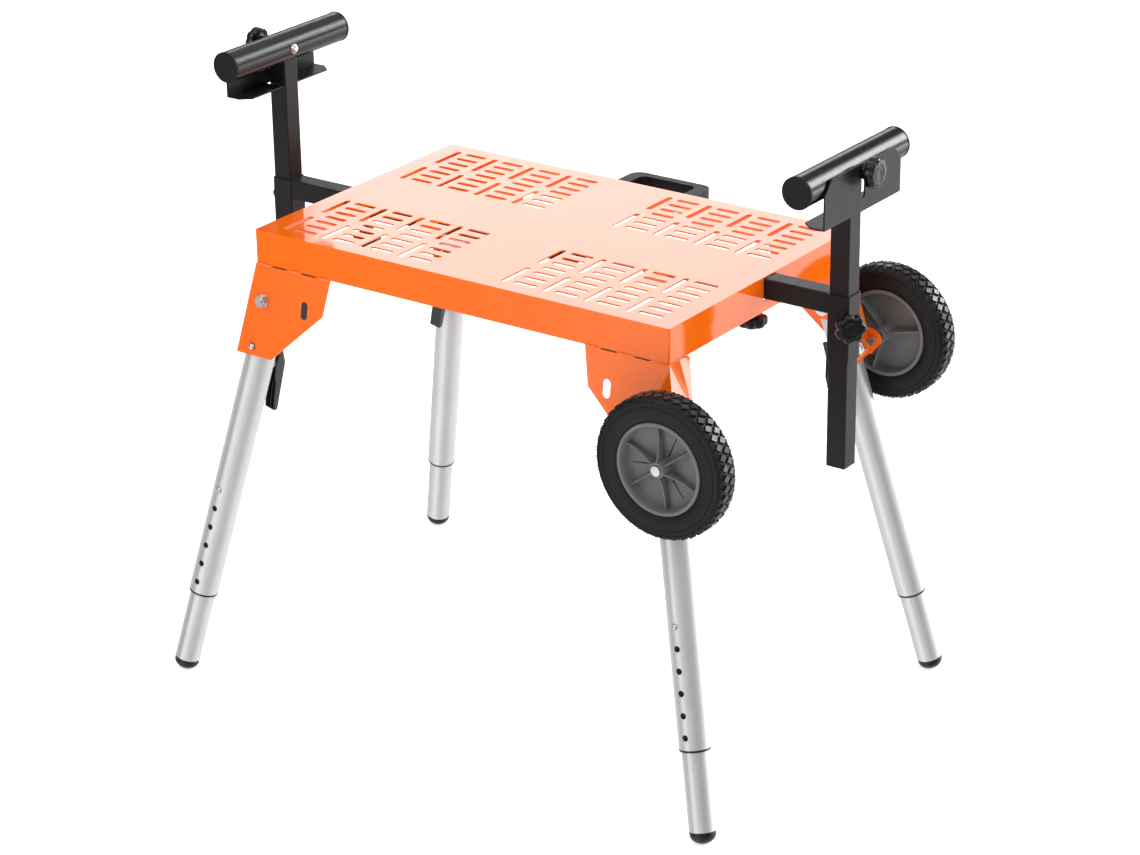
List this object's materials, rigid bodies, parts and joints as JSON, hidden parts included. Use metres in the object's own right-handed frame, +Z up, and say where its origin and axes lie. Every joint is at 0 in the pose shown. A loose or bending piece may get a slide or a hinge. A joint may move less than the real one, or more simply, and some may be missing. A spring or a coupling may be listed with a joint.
{
  "type": "mitre saw stand",
  "caption": "Folding stand for a mitre saw: slotted steel table, folding telescopic legs, wheels, and sliding arms with height-adjustable rollers and stops.",
  "frame": {"origin": "on the floor under the centre of the table", "axes": "+X along the long side of the table towards the wheels, +Y towards the carry handle, +Z up"},
  "size_m": [1.0586, 0.6654, 0.9259],
  "materials": {
    "orange_powder_coat": "glossy powder coat with fine orange peel",
    "black_powder_coat": "satin powder coat",
    "black_satin_tube": "satin powder coat",
    "anodised_aluminium": "satin anodised, drawn along the tube",
    "zinc_steel": "bright zinc plate",
    "tyre_rubber": "matte moulded rubber",
    "foot_rubber": "matte rubber",
    "grey_plastic": "moulded, fine grain",
    "black_plastic_gloss": "moulded, glossy",
    "black_plastic_matte": "moulded, satin"
  },
  "bodies": {
    "stand": {"table_pan": "orange_powder_coat", "brackets_left": "orange_powder_coat", "brackets_right": "orange_powder_coat", "arm_guides": "orange_powder_coat", "carry_handle": "black_plastic_gloss", "handle_screws": "zinc_steel", "pivot_bolts": "zinc_steel", "wheel_axles": "zinc_steel"},
    "leg_fl": {"leg_tube_fl": "anodised_aluminium", "collar_fl": "black_plastic_matte"},
    "lever_fl": {"lock_lever_fl": "black_plastic_matte"},
    "pin_fl": {"lock_pin_fl": "zinc_steel"},
    "foot_fl": {"foot_tube_fl": "anodised_aluminium", "foot_fl": "foot_rubber"},
    "button_fl": {"snap_button_fl": "zinc_steel"},
    "leg_fr": {"leg_tube_fr": "anodised_aluminium", "collar_fr": "black_plastic_matte"},
    "lever_fr": {"lock_lever_fr": "black_plastic_matte"},
    "pin_fr": {"lock_pin_fr": "zinc_steel"},
    "foot_fr": {"foot_tube_fr": "anodised_aluminium", "foot_fr": "foot_rubber"},
    "button_fr": {"snap_button_fr": "zinc_steel"},
    "leg_bl": {"leg_tube_bl": "anodised_aluminium", "collar_bl": "black_plastic_matte"},
    "lever_bl": {"lock_lever_bl": "black_plastic_matte"},
    "pin_bl": {"lock_pin_bl": "zinc_steel"},
    "foot_bl": {"foot_tube_bl": "anodised_aluminium", "foot_bl": "foot_rubber"},
    "button_bl": {"snap_button_bl": "zinc_steel"},
    "leg_br": {"leg_tube_br": "anodised_aluminium", "collar_br": "black_plastic_matte"},
    "lever_br": {"lock_lever_br": "black_plastic_matte"},
    "pin_br": {"lock_pin_br": "zinc_steel"},
    "foot_br": {"foot_tube_br": "anodised_aluminium", "foot_br": "foot_rubber"},
    "button_br": {"snap_button_br": "zinc_steel"},
    "arm_right": {"arm_right": "black_powder_coat", "post_sleeve_right": "black_powder_coat"},
    "post_right": {"post_right": "black_powder_coat", "roller_right": "black_satin_tube", "roller_caps_right": "black_plastic_matte", "stop_bolt_right": "zinc_steel"},
    "stop_right": {"stop_plate_right": "black_powder_coat"},
    "stop_knob_right": {"stop_knob_right": "black_plastic_gloss"},
    "post_knob_right": {"post_knob_right": "black_plastic_gloss"},
    "arm_knob_right": {"arm_knob_right": "black_plastic_gloss"},
    "arm_left": {"arm_left": "black_powder_coat", "post_sleeve_left": "black_powder_coat"},
    "post_left": {"post_left": "black_powder_coat", "roller_left": "black_satin_tube", "roller_caps_left": "black_plastic_matte", "stop_bolt_left": "zinc_steel"},
    "stop_left": {"stop_plate_left": "black_powder_coat"},
    "stop_knob_left": {"stop_knob_left": "black_plastic_gloss"},
    "post_knob_left": {"post_knob_left": "black_plastic_gloss"},
    "arm_knob_left": {"arm_knob_left": "black_plastic_gloss"},
    "wheel_front": {"tyre_front": "tyre_rubber", "wheel_hub_front": "grey_plastic"},
    "wheel_rear": {"tyre_rear": "tyre_rubber", "wheel_hub_rear": "grey_plastic"}
  },
  "joints": [
    {"name": "leg_fold_fl", "type": "hinge", "parent": "stand", "child": "leg_fl", "pos_m": [-0.341, -0.2186, 0.596], "axis": [0, 0.9868, -0.1621], "range_deg": [-96.3, 0]},
    {"name": "leg_extend_fl", "type": "slide", "parent": "leg_fl", "child": "foot_fl", "axis": [-0.213, -0.1584, -0.9641], "range_m": [0, 0.155]},
    {"name": "button_press_fl", "type": "slide", "parent": "foot_fl", "child": "button_fl", "axis": [0, -0.9868, 0.1621], "range_m": [-0.004, 0], "stiffness_N_per_m": 800, "springref_m": 0.002},
    {"name": "lever_squeeze_fl", "type": "hinge", "parent": "leg_fl", "child": "lever_fl", "pos_m": [-0.35671, -0.20816, 0.48989], "axis": [-0.977, 0.0345, 0.2102], "range_deg": [0, 8.5], "stiffness_Nm_per_rad": 0.6, "springref_deg": -5.73},
    {"name": "pin_retract_fl", "type": "slide", "parent": "leg_fl", "child": "pin_fl", "axis": [0, -0.9868, 0.1621], "range_m": [-0.0045, 0]},
    {"name": "leg_fold_fr", "type": "hinge", "parent": "stand", "child": "leg_fr", "pos_m": [0.337, -0.2186, 0.596], "axis": [0, 0.9868, -0.1621], "range_deg": [0, 96.3]},
    {"name": "leg_extend_fr", "type": "slide", "parent": "leg_fr", "child": "foot_fr", "axis": [-0.213, 0.1584, 0.9641], "range_m": [-0.155, 0]},
    {"name": "button_press_fr", "type": "slide", "parent": "foot_fr", "child": "button_fr", "axis": [0, -0.9868, 0.1621], "range_m": [-0.004, 0], "stiffness_N_per_m": 800, "springref_m": 0.002},
    {"name": "lever_squeeze_fr", "type": "hinge", "parent": "leg_fr", "child": "lever_fr", "pos_m": [0.35271, -0.20816, 0.48989], "axis": [0.977, 0.0345, 0.2102], "range_deg": [-8.5, 0], "stiffness_Nm_per_rad": 0.6, "springref_deg": 5.73},
    {"name": "pin_retract_fr", "type": "slide", "parent": "leg_fr", "child": "pin_fr", "axis": [0, -0.9868, 0.1621], "range_m": [-0.0045, 0]},
    {"name": "leg_fold_bl", "type": "hinge", "parent": "stand", "child": "leg_bl", "pos_m": [-0.341, 0.2186, 0.596], "axis": [0, 0.9868, 0.1621], "range_deg": [-96.3, 0]},
    {"name": "leg_extend_bl", "type": "slide", "parent": "leg_bl", "child": "foot_bl", "axis": [-0.213, 0.1584, -0.9641], "range_m": [0, 0.155]},
    {"name": "button_press_bl", "type": "slide", "parent": "foot_bl", "child": "button_bl", "axis": [0, 0.9868, 0.1621], "range_m": [-0.004, 0], "stiffness_N_per_m": 800, "springref_m": 0.002},
    {"name": "lever_squeeze_bl", "type": "hinge", "parent": "leg_bl", "child": "lever_bl", "pos_m": [-0.35671, 0.20816, 0.48989], "axis": [-0.977, -0.0345, 0.2102], "range_deg": [-8.5, 0], "stiffness_Nm_per_rad": 0.6, "springref_deg": 5.73},
    {"name": "pin_retract_bl", "type": "slide", "parent": "leg_bl", "child": "pin_bl", "axis": [0, 0.9868, 0.1621], "range_m": [-0.0045, 0]},
    {"name": "leg_fold_br", "type": "hinge", "parent": "stand", "child": "leg_br", "pos_m": [0.337, 0.2186, 0.596], "axis": [0, 0.9868, 0.1621], "range_deg": [0, 96.3]},
    {"name": "leg_extend_br", "type": "slide", "parent": "leg_br", "child": "foot_br", "axis": [-0.213, -0.1584, 0.9641], "range_m": [-0.155, 0]},
    {"name": "button_press_br", "type": "slide", "parent": "foot_br", "child": "button_br", "axis": [0, 0.9868, 0.1621], "range_m": [-0.004, 0], "stiffness_N_per_m": 800, "springref_m": 0.002},
    {"name": "lever_squeeze_br", "type": "hinge", "parent": "leg_br", "child": "lever_br", "pos_m": [0.35271, 0.20816, 0.48989], "axis": [0.977, -0.0345, 0.2102], "range_deg": [0, 8.5], "stiffness_Nm_per_rad": 0.6, "springref_deg": -5.73},
    {"name": "pin_retract_br", "type": "slide", "parent": "leg_br", "child": "pin_br", "axis": [0, 0.9868, 0.1621], "range_m": [-0.0045, 0]},
    {"name": "arm_slide_right", "type": "slide", "parent": "stand", "child": "arm_right", "axis": [1, 0, 0], "range_m": [-0.09, 0.24]},
    {"name": "post_slide_right", "type": "slide", "parent": "arm_right", "child": "post_right", "axis": [0, 0, 1], "range_m": [-0.114, 0.15]},
    {"name": "stop_lift_right", "type": "slide", "parent": "post_right", "child": "stop_right", "axis": [0, 0, 1], "range_m": [0, 0.031]},
    {"name": "stop_knob_turn_right", "type": "hinge", "parent": "post_right", "child": "stop_knob_right", "pos_m": [0.51, 0.0165, 0.88], "axis": [1, 0, 0], "continuous": true},
    {"name": "post_knob_turn_right", "type": "hinge", "parent": "arm_right", "child": "post_knob_right", "pos_m": [0.476, 0.0165, 0.663], "axis": [0.7071, -0.7071, 0], "continuous": true},
    {"name": "arm_knob_turn_right", "type": "hinge", "parent": "stand", "child": "arm_knob_right", "pos_m": [0.329, 0.0165, 0.64], "axis": [0, 0, -1], "continuous": true},
    {"name": "arm_slide_left", "type": "slide", "parent": "stand", "child": "arm_left", "axis": [-1, 0, 0], "range_m": [-0.09, 0.24]},
    {"name": "post_slide_left", "type": "slide", "parent": "arm_left", "child": "post_left", "axis": [0, 0, 1], "range_m": [-0.137, 0.127]},
    {"name": "stop_lift_left", "type": "slide", "parent": "post_left", "child": "stop_left", "axis": [0, 0, 1], "range_m": [0, 0.031]},
    {"name": "stop_knob_turn_left", "type": "hinge", "parent": "post_left", "child": "stop_knob_left", "pos_m": [-0.51, -0.0165, 0.903], "axis": [-1, 0, 0], "continuous": true},
    {"name": "post_knob_turn_left", "type": "hinge", "parent": "arm_left", "child": "post_knob_left", "pos_m": [-0.476, -0.0165, 0.663], "axis": [-0.7071, 0.7071, 0], "continuous": true},
    {"name": "arm_knob_turn_left", "type": "hinge", "parent": "stand", "child": "arm_knob_left", "pos_m": [-0.329, -0.0165, 0.64], "axis": [0, 0, -1], "continuous": true},
    {"name": "wheel_spin_front", "type": "hinge", "parent": "stand", "child": "wheel_front", "pos_m": [0.391, -0.2943, 0.538], "axis": [0, 1, 0], "continuous": true},
    {"name": "wheel_spin_rear", "type": "hinge", "parent": "stand", "child": "wheel_rear", "pos_m": [0.391, 0.2943, 0.538], "axis": [0, 1, 0], "continuous": true}
  ],
  "couplings": [
    {"joint": "pin_retract_fl", "follows": "lever_squeeze_fl", "m_per_rad": -0.030266},
    {"joint": "pin_retract_fr", "follows": "lever_squeeze_fr", "m_per_rad": 0.030266},
    {"joint": "pin_retract_bl", "follows": "lever_squeeze_bl", "m_per_rad": 0.030266},
    {"joint": "pin_retract_br", "follows": "lever_squeeze_br", "m_per_rad": -0.030266}
  ]
}
